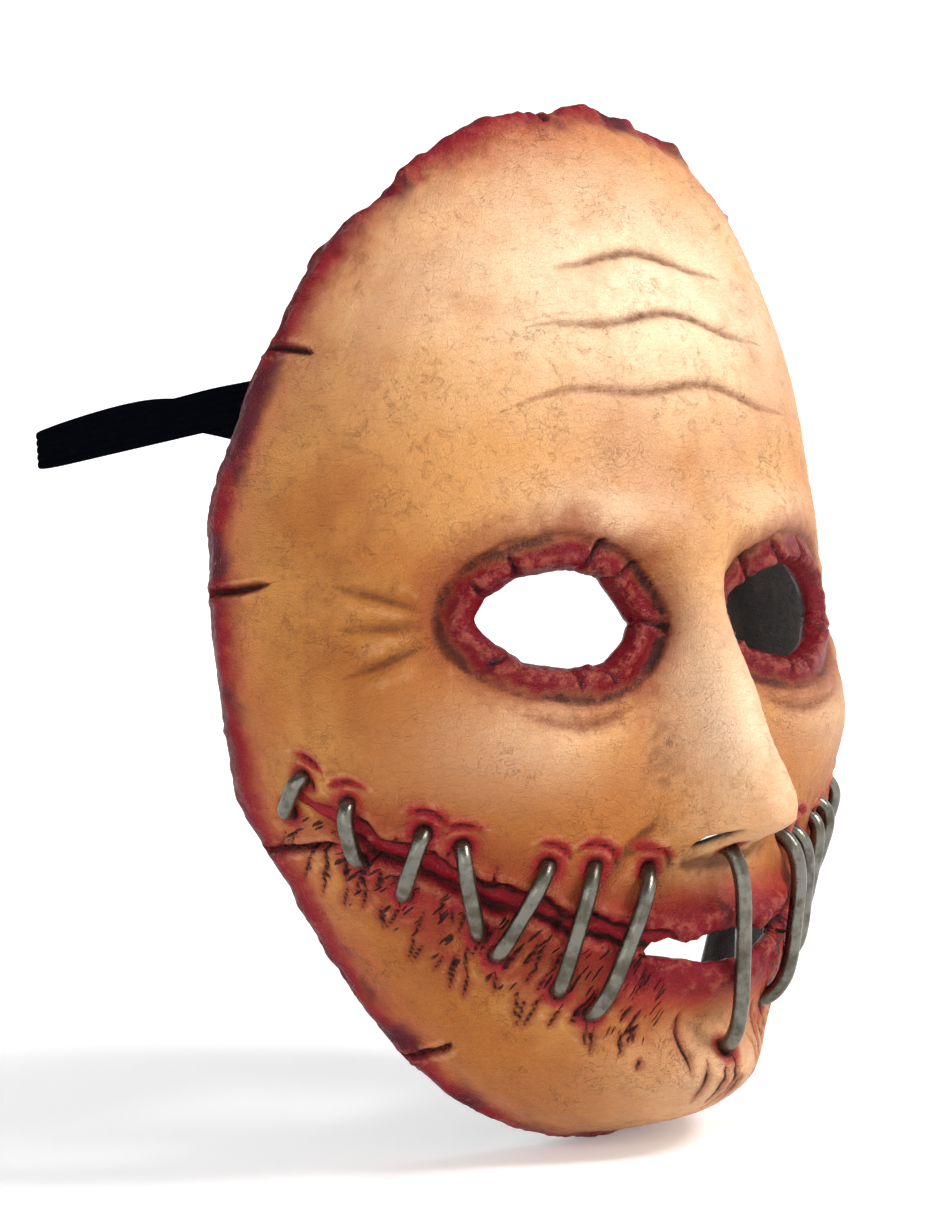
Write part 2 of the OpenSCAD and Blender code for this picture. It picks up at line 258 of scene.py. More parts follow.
def staple_feet(side, k):
    """Bearing and height of the high and the low foot of side staple k, counted from the middle."""
    length = first_staple * staple_shrink ** (k - 1)
    bearing = FIRST_BEARING + BEARING_STEP * (k - 1)
    reach = np.linalg.norm(skin_at(bearing, seam_z(bearing))[:2])
    lean = math.radians(LEANS[side][k - 1])
    swing = math.degrees(length * math.sin(lean) / reach)
    tall = length * math.cos(lean)
    return ((side * (bearing - swing * SHARE_OVER), seam_z(bearing) + tall * SHARE_OVER),
            (side * (bearing + swing * (1 - SHARE_OVER)), seam_z(bearing) - tall * (1 - SHARE_OVER)))


STAPLES = {"staple_centre": ((0, mouth_z + centre_staple / 2 - 1), (0, mouth_z - centre_staple / 2 - 1))}
for side, side_name in SIDE_NAMES.items():
    for k in range(1, SIDE_STAPLES + 1):
        STAPLES[f"staple_{side_name}_{k}"] = staple_feet(side, k)


# ---- What the latex carries: its torn edge, raw eye rims, seam, feet and cuts ----------

def rounded(turn, wide, tall, power):
    """How far a rounded outline is from its middle in a direction."""
    return (np.abs(np.cos(turn) / wide) ** power + np.abs(np.sin(turn) / tall) ** power) ** (-1 / power)


def outline(o, count):
    """Points of an opening's outline on the skin."""
    turn = np.linspace(0, 2 * np.pi, count + 1)
    r = rounded(turn, o.wide, o.tall, o.power)
    a, b, tilt = r * np.cos(turn), r * np.sin(turn), math.radians(o.tilt)
    return skin(o.x + a * math.cos(tilt) - b * math.sin(tilt),
                o.z + a * math.sin(tilt) + b * math.cos(tilt))


def edge_line(count=360):
    """Points of the torn edge: the skin's outline in the front view."""
    turn = np.linspace(0, 2 * np.pi, count + 1)
    r = rounded(turn, half_w, half_h, round_n)
    z = lowered(r * np.sin(turn))
    return skin(r * np.cos(turn) * taper(z), z)


def seam_line(side, count=90):
    bearing = np.linspace(math.degrees(math.asin(0.27)), SEAM_END, count)
    wander = 1.3 * value_noise(np.stack([bearing / 5, bearing * 0 + side, bearing * 0], -1), 31)
    wander = wander * blend(bearing[0], bearing[0] + 10, bearing)
    return skin_at(side * bearing, seam_z(bearing) + wander)


def ends_of(lines):
    """All the lines' segments as two arrays, and how far along its own line each end is."""
    a = np.concatenate([p[:-1] for p in lines])
    b = np.concatenate([p[1:] for p in lines])
    t = np.concatenate([np.arange(len(p) - 1) / (len(p) - 1) for p in lines])
    step = np.concatenate([np.full(len(p) - 1, 1 / (len(p) - 1)) for p in lines])
    return a, b, t, step


def cut_line(bearing, z, lean, length, bow=0.0, points=7):
    """A short cut that starts at a bearing and height and runs down, leaning outward by lean degrees."""
    side = np.sign(bearing)
    t = np.linspace(0, 1, points)
    reach = np.linalg.norm(skin_at(bearing, z)[:2])
    swing = np.degrees(length * t * math.sin(math.radians(lean)) / reach)
    drop = length * t * math.cos(math.radians(lean))
    curve = np.degrees(bow * length * np.sin(np.pi * t) / reach)
    return skin_at(bearing + side * (swing + curve), z - drop)


def slash_lines():
    """Fine cuts in the skin, hatched under the seam in clusters, with a few round the chin."""
    rng = np.random.default_rng(11)
    lines = []
    for side in (-1, 1):
        for bearing in np.arange(22, 80, 2.1):
            room = 30 * (1 - 0.55 * bearing / 80)
            lean = 40 + 9 * math.sin(bearing * 0.35 + side) + rng.uniform(-4, 4)
            for row in range(3):
                if rng.uniform() < 0.22:
                    continue
                b = side * (bearing + rng.uniform(-1.1, 1.1) + row)
                under = 4 + room * 1.1 * rng.uniform(0, 1) ** 0.8
                lines.append(cut_line(b, seam_z(abs(b)) - under, lean + rng.uniform(-5, 5),
                                      rng.uniform(4.5, 10.5), rng.uniform(-0.08, 0.08)))
        for bearing in np.arange(40, 76, 5.5):
            b = side * (bearing + rng.uniform(-1.5, 1.5))
            lines.append(cut_line(b, seam_z(abs(b)) + rng.uniform(5, 9), rng.uniform(10, 40),
                                  rng.uniform(3, 6)))
    for bearing, under, lean, length in ((2, 24, -8, 15), (-9, 25, 22, 12), (14, 22, 30, 13), (-3, 27, 4, 10),
                                         (-13, 14, 12, 16), (19, 15, 8, 15), (5, 30, 10, 8)):
        lines.append(cut_line(bearing, mouth_z - under, lean, length, 0.06))
    return lines


EDGE_CRACKS = (18, 62, 97, 139, 172, 203, 232, 291, 322, 349)   # degrees round the front view


def crack_lines():
    """Cracks that run in from the torn edge, and radial cuts across the raw eye rims."""
    rng = np.random.default_rng(5)
    edge = edge_line()
    lines = []
    for at in EDGE_CRACKS:
        spot = edge[at]
        reach, sway = rng.uniform(9, 17), rng.uniform(-0.5, 0.5)
        inward = -spot * np.array([1, 0, 1]) / np.linalg.norm(spot[[0, 2]])
        across = np.array([-inward[2], 0, inward[0]])
        t = np.linspace(0.01, 1, 9)[:, None]
        # the skin rises steeply off the edge, so an even step along it is an uneven one in plan
        bend = sway * t + 0.06 * np.sin(9 * t + at)
        path = spot + (inward + across * bend) * reach * 0.35 * t ** 1.6
        lines.append(skin(path[:, 0], path[:, 2]))
    for o in EYES:
        for turn in np.cumsum(rng.uniform(0.4, 1.1, 8)):
            r = rounded(turn, o.wide, o.tall, o.power)
            t = np.linspace(0, 1, 6)
            out = r + rng.uniform(4, 9) * t
            angle = turn + rng.uniform(-0.22, 0.22) * t + math.radians(o.tilt)
            lines.append(skin(o.x + out * np.cos(angle), o.z + out * np.sin(angle)))
    return lines


def fold_lines():
    """Soft folds: three across the forehead, fans beside the eyes, one beside each nostril wing."""
    t = np.linspace(-1, 1, 41)
    lines = [skin(46 * t, brow_z + 30 + 5 * (1 - t ** 2) + 1.2 * np.sin(7 * t)),
             skin(38 * t, brow_z + 47 + 5 * (1 - t ** 2) + 1.2 * np.sin(6 * t + 1)),
             skin(30 * t, brow_z + 63 + 4 * (1 - t ** 2) + np.sin(5 * t + 2))]
    s = np.linspace(0, 1, 21)
    for side in (-1, 1):
        lines.append(skin(side * (19 + 17 * s ** 1.3), nose_z + 8 - 20 * s))
        for rise in (9, 1, -8):
            lines.append(skin(side * (eye_x + 30 + 13 * s), rise * (0.45 + 0.75 * s)))
        lines.append(skin(side * (eye_x - 15 + 32 * s), -19.5 - 4 * np.sin(np.pi * s)))
    return lines


MARKS = {"edge": [edge_line()], "eye": [outline(o, 120) for o in EYES], "slot": [outline(SLOT, 80)],
         "seam": [seam_line(-1), seam_line(1)], "slash": slash_lines(), "crack": crack_lines(),
         "fold": fold_lines()}
MARKS = {name: ends_of(lines) for name, lines in MARKS.items()}
FEET = {name: (skin_at(*feet[0]), skin_at(*feet[1])) for name, feet in STAPLES.items()}


BATCH = 4000                # points at a time, to spare memory


def distance_to(p, lines):
    """Distance to the nearest of a set of lines, and how far along its own line the nearest point is."""
    a, b, t, step = lines
    along = b - a
    square = np.maximum((along ** 2).sum(-1), 1e-9)
    best, far = np.empty(len(p)), np.empty(len(p))
    for start in range(0, len(p), BATCH):
        batch = slice(start, start + BATCH)
        q = p[batch, None] - a[None]
        share = np.clip((q * along).sum(-1) / square, 0, 1)
        d = np.sqrt(((q - share[..., None] * along) ** 2).sum(-1))
        k = d.argmin(1)
        rows = np.arange(len(k))
        best[batch] = d[rows, k]
        far[batch] = t[k] + share[rows, k] * step[k]
    return best, far


def foot_field(p):
    """Distance to the nearest staple foot, 1 for a high foot, and how far up beyond the foot a point lies."""
    feet = np.array([spot for ends in FEET.values() for spot in ends])
    out = np.array([unit(ends[k] - ends[1 - k]) for ends in FEET.values() for k in (0, 1)])
    d = np.linalg.norm(p[:, None] - feet[None], axis=-1)
    k = d.argmin(1)
    beyond = ((p - feet[k]) * out[k]).sum(-1)
    return d[np.arange(len(p)), k], (k % 2 == 0).astype(float), beyond


def features(p):
    """Distances in mm from points of the plain skin to everything that marks it, and the height it adds."""
    f, far = {}, {}
    for name, lines in MARKS.items():
        f[name], far[name] = distance_to(p, lines)
    f["foot"], high, beyond = foot_field(p)
    coarse, fine = lumps(p, 12, 3, 2), lumps(p, 3.6, 8, 2)
    x, z = p[:, 0], p[:, 2]

    # a channel with torn lips, a ridge of raw flesh in it, and a dark line down each side of the ridge
    tail = blend(1.0, 0.8, far["seam"])
    ragged_lip = 1.1 * value_noise(p / 4.5, 22) + 0.7 * value_noise(p / 2.0, 24)
    channel = f["seam"] + ragged_lip
    seam = tail * (1.4 * bell(channel - 4.6, 1.7) - 2.4 * (1 - blend(1.8, 3.6, channel))
                   + (1.5 + 0.5 * fine) * bell(f["seam"], 1.4))
    f["seam"] = f["seam"] / np.maximum(tail, 0.12)
    f["lip"] = channel / np.maximum(tail, 0.12)

    top = blend(55, 100, z)
    near_edge = 1 - blend(5, 15, f["edge"])
    broad = lumps(p, 22, 13, 2)
    edge = near_edge * (0.9 * broad + 1.5 * top * coarse + 0.1 * fine) + 1.3 * bell(f["edge"] - 4.0, 3.0)
    near_eye = 1 - blend(3.6, 6.6, f["eye"] + 1.3 * coarse)
    eye = (near_eye * (0.9 + 1.9 * bell(f["eye"] - 2.6, 2.2) + 0.8 * coarse + 0.12 * fine)
           - 1.0 * bell(f["eye"] - 7.2 + coarse, 1.1))
    slot = 0.35 * fine * (1 - blend(4, 12, f["slot"]))

    cut = np.sqrt(np.maximum(np.sin(np.pi * np.clip(far["slash"], 0.02, 0.98)), 0))
    slash = -0.9 * cut * bell(f["slash"], 0.6)
    split = 1 - blend(0.5, 1.0, far["crack"])
    split = split * blend(-0.5, 1.5, np.minimum(f["eye"], f["edge"]))
    crack = split * (-2.0 * bell(f["crack"], 0.85) + 0.5 * bell(f["crack"] - 1.9, 0.8))
    soft = np.maximum(np.sin(np.pi * np.clip(far["fold"], 0, 1)), 0) ** 0.7
    fold = soft * (-1.1 * bell(f["fold"], 1.5) + 0.7 * bell(f["fold"] - 4.5, 3.0))

    # each high foot pulls the skin into two crescents over it
    over = blend(0.8, 4.2, beyond + 0.8 * coarse)
    pull = 0.45 + 0.55 * high
    f["pucker"] = np.abs(f["foot"] - 5.2 - 0.4 * coarse) + 6 * (1 - over * high)
    foot = (pull * over * (1.0 * bell(f["foot"] - 3.7, 0.9) - 0.8 * bell(f["foot"] - 5.2, 0.7)
                           + 0.8 * bell(f["foot"] - 6.7, 1.0)) - 0.9 * bell(f["foot"], 2.2))

    # coordinates across and along the hatched cuts below the seam, and where they lie
    bearing = np.degrees(np.arctan2(np.abs(x) / taper(z), mask_d * depth(x, z)))
    along, under = bearing * HATCH_REACH * math.pi / 180, seam_z(bearing) - z
    lean = math.radians(HATCH_LEAN)
    f["hatch_u"] = along * math.cos(lean) - under * math.sin(lean) + 500 * (x > 0)
    f["hatch_v"] = under * math.cos(lean) + along * math.sin(lean)
    patchy = 0.5 + 0.5 * lumps(p, 15, 71, 2)
    f["hatch"] = (blend(2.5, 5.5, under) * blend(31, 18, under + 10 * patchy - 4) * blend(14, 26, bearing)
                  * blend(86, 76, bearing) * blend(0.12, 0.45, patchy))

    grain = 0.14 * fine + 0.10 * value_noise(p / 0.9, 51)
    height = seam + edge + eye + slot + slash + crack + fold + foot + grain
    # painted highlight: paler paint on the forehead, nose, brows, cheekbones and chin, where the light falls
    # most
    f["painted_highlight"] = np.clip(1.0 * mound(x, z, 0, brow_z + 58, 60, 32) + 0.9 * mound(x, z, 0, nose_z + 26, 13, 30)
                        + 0.5 * pair(x, z, 26, brow_z + 6, 22, 9) + 0.45 * pair(x, z, 46, -26, 20, 12)
                        + 0.5 * mound(x, z, 0, chin_z, 24, 14), 0, 1)
    # painted shade: darker brown on the hollow of the cheeks, the temples, beside the mouth and under the
    # chin, the parts turned from the light
    f["painted_shade"] = np.clip(0.9 * pair(x, z, 52, mouth_z + 12, 28, 30) + 0.6 * pair(x, z, 78, 10, 14, 50)
                         + 0.5 * pair(x, z, 24, mouth_z + 12, 12, 12)
                         + 0.6 * pair(x, z, 40, chin_z - 8, 26, 18), 0, 1)
    f["slash"] = f["slash"] / np.maximum(cut, 0.15)
    f["crack"] = f["crack"] / np.maximum(split, 0.15)
    f["fold"] = f["fold"] / np.maximum(soft, 0.2)
    return height, f


# ---- The latex shell -----------------------------------------------------------------

COLUMNS, ROWS = 236, 316    # even, because the inside has one cell for every four outside
GRADE = 0.8                 # cell size at the middle against the mean
GRID_DEPTH = 96.0
LIP_ROWS = 4
LOOSE_CELLS, EASING_PASSES, EASING = 16, 60, 0.8    # how the grid eases round the openings
NEIGHBOURS = ((1, 0), (-1, 0), (1, 1), (-1, 1))     # shift and axis


def plan(u, v):
    """Place in the front view of a grid point, u and v from -1 to 1."""
    s, t = u * np.sqrt(1 - v * v / 2), v * np.sqrt(1 - u * u / 2)
    rho = np.maximum(np.hypot(s, t), 1e-4)
    lean = rho * np.pi / 2
    x, y, z = np.sin(lean) * s / rho, np.cos(lean), np.sin(lean) * t / rho
    r = ((np.abs(x) / half_w) ** round_n + np.maximum(y, 0) ** round_n / GRID_DEPTH ** round_n
         + (np.abs(z) / half_h) ** round_n) ** (-1 / round_n)
    height = lowered(r * z)
    return r * x * taper(height), height


def graded(count):
    t = np.linspace(-1, 1, count + 1)
    return t * (GRADE + (1 - GRADE) * t * t)


def in_opening(x, z, o):
    """1 on the opening's outline, less inside it."""
    tilt = math.radians(o.tilt)
    a = (x - o.x) * math.cos(tilt) + (z - o.z) * math.sin(tilt)
    b = (z - o.z) * math.cos(tilt) - (x - o.x) * math.sin(tilt)
    return (np.abs(a / o.wide) ** o.power + np.abs(b / o.tall) ** o.power) ** (1 / o.power)


def front_grid():
    """The grid in the front view, fitted to the openings, and which of its coarse cells are cut away."""
    u, v = np.meshgrid(graded(COLUMNS), graded(ROWS), indexing="ij")
    x, z = plan(u, v)
    mid_x = (x[:-1:2, :-1:2] + x[2::2, 2::2]) / 2
    mid_z = (z[:-1:2, :-1:2] + z[2::2, 2::2]) / 2
    hit = np.full(mid_x.shape, -1)
    for k, o in enumerate(OPENINGS):
        hit[in_opening(mid_x, mid_z, o) < 1] = k
    cut = np.repeat(np.repeat(hit, 2, 0), 2, 1)
    padded = np.full((COLUMNS + 2, ROWS + 2), -1)
    padded[1:-1, 1:-1] = cut
    near = np.stack([padded[:-1, :-1], padded[1:, :-1], padded[:-1, 1:], padded[1:, 1:]])
    on_outline = (near.max(0) >= 0) & (near.min(0) < 0)
    for k, o in enumerate(OPENINGS):
        mine = on_outline & (near.max(0) == k)
        scale = 1 / in_opening(x[mine], z[mine], o)
        x[mine] = o.x + (x[mine] - o.x) * scale
        z[mine] = o.z + (z[mine] - o.z) * scale
    inside_cut = near.min(0) >= 0
    loose = np.clip(1 - distance_in_cells(on_outline, LOOSE_CELLS) / LOOSE_CELLS, 0, 1)
    loose[on_outline | inside_cut] = 0
    loose[0], loose[-1], loose[:, 0], loose[:, -1] = 0, 0, 0, 0
    held = (~inside_cut).astype(float)
    for _ in range(EASING_PASSES):
        for w in (x, z):
            total, count = np.zeros_like(w), np.zeros_like(w)
            for shift, axis in NEIGHBOURS:
                total += np.roll(w * held, shift, axis)
                count += np.roll(held, shift, axis)
            w += loose * EASING * (total / np.maximum(count, 1) - w)
    return u, v, x, z, cut


def distance_in_cells(marked, most):
    """How many cells each grid point is from a marked one, up to most."""
    ring = np.where(marked, 0, most).astype(float)
    for _ in range(most):
        for shift, axis in NEIGHBOURS:
            ring = np.minimum(ring, np.roll(ring, shift, axis) + 1)
    return ring


def grid_normals(u, v, p):
    """Outward direction at each grid point."""
    step, inner = 0.02, 0.97
    cu, cv = np.clip(u, -0.98, 0.98), np.clip(v, -0.98, 0.98)
    rim = unit(np.cross(skin(*plan(cu + step, cv)) - skin(*plan(cu - step, cv)),
                        skin(*plan(cu, cv + step)) - skin(*plan(cu, cv - step))))
    face = unit(np.cross(np.gradient(p, axis=0), np.gradient(p, axis=1)))
    middle = 1 - blend(0.93, inner, np.maximum(np.abs(u), np.abs(v)))
    return unit(rim * (1 - middle[..., None]) + face * middle[..., None])


def ragged(p):
    """How far the torn edge runs beyond the CAD model's, in mm."""
    top = blend(50, 95, p[..., 2])
    return 1.2 * lumps(p, 30, 41, 2) + top * 2.4 * lumps(p, 13, 42, 2) + 0.1 * value_noise(p / 2.6, 43)


def hollowness(p, n):
    """How far each grid point lies below the mean of its neighbours, at two scales, in mm."""
    total = np.zeros(p.shape[:2])
    for reach, share in ((2, 0.6), (5, 0.4)):
        mean = sum(np.roll(p, reach * shift, axis) for shift, axis in NEIGHBOURS) / 4
        total += share * ((mean - p) * n).sum(-1) / reach
    total[:6], total[-6:], total[:, :6], total[:, -6:] = 0, 0, 0, 0
    return total


def make_shell():
    """The latex: the marked outer skin, a rounded lip at every edge, and a plain inside on coarser cells."""
    u, v, x, z, cut = front_grid()
    shape, count = u.shape, u.size
    plain = skin(x, z)
    normal = grid_normals(u, v, plain)
    flat = plain.reshape(-1, 3)
    height, fields = features(flat)
    pull = ((1 - blend(0, 9, fields["edge"])) * ragged(flat)).reshape(shape)
    thick = skin_t + (1 - blend(2, 9, fields["edge"])).reshape(shape)
    outer = plain + normal * height.reshape(shape)[..., None]
    outer[..., 1] += pull
    inner = plain - normal * thick[..., None]
    inner[..., 1] += pull
    fields["hollow"] = hollowness(outer, normal).reshape(-1)
    outer, inner = outer.reshape(-1, 3), inner.reshape(-1, 3)

    index = np.arange(count).reshape(shape)
    keep = cut < 0
    i, j = np.nonzero(keep)
    quads = np.stack([index[i, j], index[i + 1, j], index[i + 1, j + 1], index[i, j + 1]], 1)
    # directed boundary edges, with the face on their left as seen from outside
    edges = {(a, b) for q in quads for a, b in zip(q, np.roll(q, -1))}
    rim = [(a, b) for a, b in edges if (b, a) not in edges]
    after = dict(rim)
    before = {b: a for a, b in rim}

    # the lip swells away from the skin between the outer and the inner rim
    rim_points = np.array(sorted(after))
    ahead = outer[[after[a] for a in rim_points]] - outer[[before[a] for a in rim_points]]
    away = unit(np.cross(ahead, normal.reshape(-1, 3)[rim_points]))
    top, low = outer[rim_points], inner[rim_points]
    swell = 0.45 * np.linalg.norm(top - low, axis=1, keepdims=True)
    lip = []
    for turn in np.pi * np.arange(1, LIP_ROWS) / LIP_ROWS:
        lip.append((top + low) / 2 + (top - low) / 2 * math.cos(turn) + away * swell * math.sin(turn))
    inner_first = count + len(rim_points) * len(lip)

    # the inside: coarse grid points, and every rim point
    i, j = (2 * k for k in np.nonzero(keep[::2, ::2]))
    corners = [index[i + di, j + dj] for di, dj in ((0, 0), (2, 0), (2, 2), (0, 2))]
    needed = np.zeros(count, bool)
    needed[np.concatenate(corners + [rim_points])] = True
    inner_of = np.full(count, -1)
    inner_of[needed] = inner_first + np.arange(needed.sum())

    faces = [tuple(q) for q in quads]
    levels = [dict(zip(rim_points, rim_points))]
    for begin in range(count, inner_first, len(rim_points)):
        levels.append({a: begin + k for k, a in enumerate(rim_points)})
    levels.append({a: inner_of[a] for a in rim_points})
    for upper, lower in zip(levels, levels[1:]):
        faces += [(upper[b], upper[a], lower[a], lower[b]) for a, b in rim]
    for q in zip(*corners):
        ring = []
        for a, b in zip(q, q[1:] + q[:1]):
            ring.append(inner_of[a])
            m = after.get(a)
            if m is not None and after.get(m) == b:
                ring.append(inner_of[m])
        faces.append(tuple(reversed(ring)))

    points = np.concatenate([outer, *lip, inner[needed]])
    source = np.concatenate([np.arange(count)] + [rim_points] * len(lip) + [np.nonzero(needed)[0]])
    fields = {name: values[source] for name, values in fields.items()}
    rows = np.arange(count, inner_first) - count
    fields["within"] = np.concatenate([np.zeros(count), (rows // len(rim_points) + 1) / LIP_ROWS,
                                       np.ones(needed.sum())])
    used = np.zeros(len(points), bool)
    used[np.concatenate([np.array(face) for face in faces])] = True
    renumber = np.cumsum(used) - 1
    faces = [tuple(int(renumber[k]) for k in face) for face in faces]
    fields = {name: values[used] for name, values in fields.items()}
    return new_mesh("latex_face_skin", points[used], faces, fields)


def new_object(name, data):
    obj = bpy.data.objects.new(name, data)
    bpy.context.scene.collection.objects.link(obj)
    return obj


def new_mesh(name, points_mm, faces, fields=None):
    mesh = bpy.data.meshes.new(name)
    mesh.from_pydata((np.asarray(points_mm) * MM).tolist(), [], faces)
    for field, values in (fields or {}).items():
        layer = mesh.attributes.new(field, "FLOAT", "POINT")
        layer.data.foreach_set("value", np.asarray(values, np.float32))
    mesh.polygons.foreach_set("use_smooth", [True] * len(mesh.polygons))
    mesh.update()
    return new_object(name, mesh)


def tube_faces(rings, sides):
    """Faces of a closed tube whose points come ring by ring, and its two ends last."""
    faces = []
    for k in range(rings - 1):
        for i in range(sides):
            j = (i + 1) % sides
            faces.append((k * sides + i, (k + 1) * sides + i, (k + 1) * sides + j, k * sides + j))
    faces.append(tuple(range(sides)))
    faces.append(tuple((rings - 1) * sides + i for i in reversed(range(sides))))
    return faces


# ---- Staples -------------------------------------------------------------------------

WIRE_STEPS, WIRE_SIDES = 44, 18
CORNER = 0.5


def wire_path(a, b):
    """Middle line of a wire between two feet, arching over whatever skin lies between them."""
    a, b = np.array(a, float), np.array(b, float)
    start, end = skin_at(*a), skin_at(*b)
    up = facing(*(a + b) / 2)
    along = unit(end - start)
    out = unit(up - along * (up @ along))
    t = np.arange(0.06, 0.95, 0.02)
    base = skin_at(a[0] + t * (b[0] - a[0]), a[1] + t * (b[1] - a[1]))
    side = np.cross(along, out)
    over = 0.0
    for shift in (-wire_d / 2, 0, wire_d / 2):
        height, _ = features(base + side * shift)
        bulk = (base + up * height[:, None] - start - t[:, None] * (end - start)) @ out
        over = max(over, ((bulk - staple_lift) / (1 - (2 * t - 1) ** 4)).max())
    top, dip = staple_lift + wire_d / 2, skin_t + 2
    turn = np.radians(np.linspace(-90, 90, WIRE_STEPS + 1))[:, None]
    w = np.sign(turn) * np.abs(np.sin(turn)) ** CORNER
    h = (top + dip) * np.maximum(np.cos(turn), 0) ** CORNER - dip
    return (start + end) / 2 + w * (end - start) / 2 + out * (h + max(over, 0) * (1 - w ** 4))


def make_staple(name):
    path = wire_path(*STAPLES[name])
    ahead = unit(np.gradient(path, axis=0))
    side = unit(np.cross(path[-1] - path[0], path[WIRE_STEPS // 2] - path[0]))
    up = np.cross(ahead, side)
    seed = sum(ord(c) for c in name)
    points, fields = [], []
    for k, spot in enumerate(path):
        turn = 2 * np.pi * np.arange(WIRE_SIDES) / WIRE_SIDES
        ring = np.cos(turn)[:, None] * side + np.sin(turn)[:, None] * up[k]
        raised_painted_highlight = 1 + 0.035 * lumps(spot + ring * 2, 7, seed, 2)
        points.append(spot + ring * (wire_d / 2 * raised_painted_highlight)[:, None])
        fields += [abs(2 * k / WIRE_STEPS - 1)] * WIRE_SIDES
    return new_mesh(name + "_wire", np.concatenate(points), tube_faces(WIRE_STEPS + 1, WIRE_SIDES),
                    {"foot": fields})


# ---- Elastic strap and the tabs that hold it --------------------------------------------

tab_spot = skin_at(TAB_BEARING, strap_z)
tab_out = facing(TAB_BEARING, strap_z)
tab_back = unit(skin_at(TAB_BEARING + 1, strap_z) - skin_at(TAB_BEARING - 1, strap_z))
hinge_back = END_BACK + strap_w / 2 + HINGE_GAP
hinge = tab_spot - tab_out * (skin_t + GLUE + strap_t / 2) + tab_back * hinge_back
loop_r = hinge[0]
strap_arch = (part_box("elastic_strap")[1][2] / MM - hinge[2] - strap_w / 2
              - (strap_reach - hinge[1]) * math.sin(math.radians(strap_rise)))
RIBS = 5
RIB_H = 0.35


def strap_path():
    """Middle line of the elastic from under the right tab round the head to under the left one, with its
    width direction at each point."""
    rise = math.radians(strap_rise)
    back, up = np.array([0, math.cos(rise), math.sin(rise)]), np.array([0, -math.sin(rise), math.cos(rise)])
    straight = strap_reach - hinge[1] - loop_r
    line, width = [], []
    tab_up = np.cross(tab_out, tab_back)
    for d in np.arange(END_FRONT, hinge_back - 4, 1.5):
        line.append(hinge + tab_back * (d - hinge_back))
        width.append(tab_up)
    for d in np.arange(4, straight, 2.0):
        line.append(hinge + back * d)
        width.append(up)
    turns = np.linspace(0, np.pi / 2, 60)
    whole = math.hypot(1, ARCH_SOFT)
    arch = strap_arch * (whole - np.hypot(np.cos(turns), ARCH_SOFT)) / (whole - ARCH_SOFT)
    for turn, lift in zip(turns, arch):
        line.append(np.array([loop_r * math.cos(turn), hinge[1], hinge[2]])
                    + back * (straight + loop_r * math.sin(turn)) + up * lift)
    bend = np.gradient(np.array(line[-len(turns):]), axis=0)
    outward = np.stack([np.cos(turns), np.sin(turns), turns * 0], 1)
    width += list(unit(np.cross(outward, bend)))
    line, width = np.array(line), np.array(width)
    flip = np.array([-1, 1, 1])
    line = np.concatenate([line, (line * flip)[-2::-1]])
    width = np.concatenate([width, (width * flip)[-2::-1]])
    for _ in range(4):
        line[1:-1] = (line[:-2] + 2 * line[1:-1] + line[2:]) / 4
        width[1:-1] = (width[:-2] + 2 * width[1:-1] + width[2:]) / 4
    return line, unit(width)


def make_strap():
    line, width = strap_path()
    ahead = unit(np.gradient(line, axis=0))
    out = unit(np.cross(ahead, width))
    across = np.linspace(-1, 1, RIBS * 8 + 1)
    ribs = RIB_H * (np.abs(np.sin(np.pi * RIBS * (across + 1) / 2)) ** 0.6 - 1)
    half_t = (strap_t / 2) * np.minimum(1, (1 - np.abs(across)) * 14 + 0.45) + ribs * (np.abs(across) < 0.999)
    half_t = np.maximum(half_t, 0.22)
    section = np.concatenate([np.stack([across * strap_w / 2, half_t], 1),
                              np.stack([across[::-1] * strap_w / 2, -half_t[::-1]], 1)])
    n = len(section)
    points = [spot + width[k] * section[:, :1] + out[k] * section[:, 1:] for k, spot in enumerate(line)]
    run = np.concatenate([[0], np.cumsum(np.linalg.norm(np.diff(line, axis=0), axis=1))])
    return new_mesh("elastic_strap_band", np.concatenate(points), tube_faces(len(line), n),
                    {"run": np.repeat(run, n), "across": np.tile(section[:, 0], len(line))})


TAB_CELLS = 28


def make_tab(side):
    """A patch of latex glued over the elastic's end, with rounded corners and an uneven edge."""
    a = np.linspace(-1, 1, TAB_CELLS + 1)
    s, t = np.meshgrid(a, a, indexing="ij")
    shrink = 1 - 0.1 * (s * t) ** 2
    s, t = s * shrink, t * shrink
    border = np.maximum(np.abs(s), np.abs(t))
    raised = (strap_t + 0.5) * (1 - blend(0.5, 0.85, np.abs(t))) * blend(-0.98, -0.7, s)
    bearing, z = TAB_BEARING - 1 + s * (TAB_SPREAD - 1), strap_z + t * TAB_H / 2
    base, n = skin_at(bearing, z), facing(bearing, z)
    uneven = 0.3 * lumps(base, 6, 77, 2)
    thick = TAB_T * (1 - 0.65 * blend(0.8, 1.0, border)) + uneven
    top = base - n * (skin_t + GLUE + raised)[..., None]
    low = base - n * (skin_t + GLUE + raised + thick)[..., None]
    index = np.arange(s.size).reshape(s.shape)
    i, j = np.nonzero(np.ones((TAB_CELLS, TAB_CELLS)))
    up = np.stack([index[i, j], index[i + 1, j], index[i + 1, j + 1], index[i, j + 1]], 1)
    faces = [tuple(q) for q in up] + [tuple(q[::-1] + s.size) for q in up]
    loop = np.concatenate([index[:-1, 0], index[-1, :-1], index[:0:-1, -1], index[0, :0:-1]])
    for p, q in zip(loop, np.roll(loop, -1)):
        faces.append((q, p, p + s.size, q + s.size))
    points = np.concatenate([top.reshape(-1, 3), low.reshape(-1, 3)])
    if side < 0:
        points = points * np.array([-1, 1, 1])
        faces = [tuple(reversed(face)) for face in faces]
    faces = [tuple(int(k) for k in face) for face in faces]
    return new_mesh(f"strap_tab_{SIDE_NAMES[side]}_patch", points, faces)


# ---- Materials -----------------------------------------------------------------------

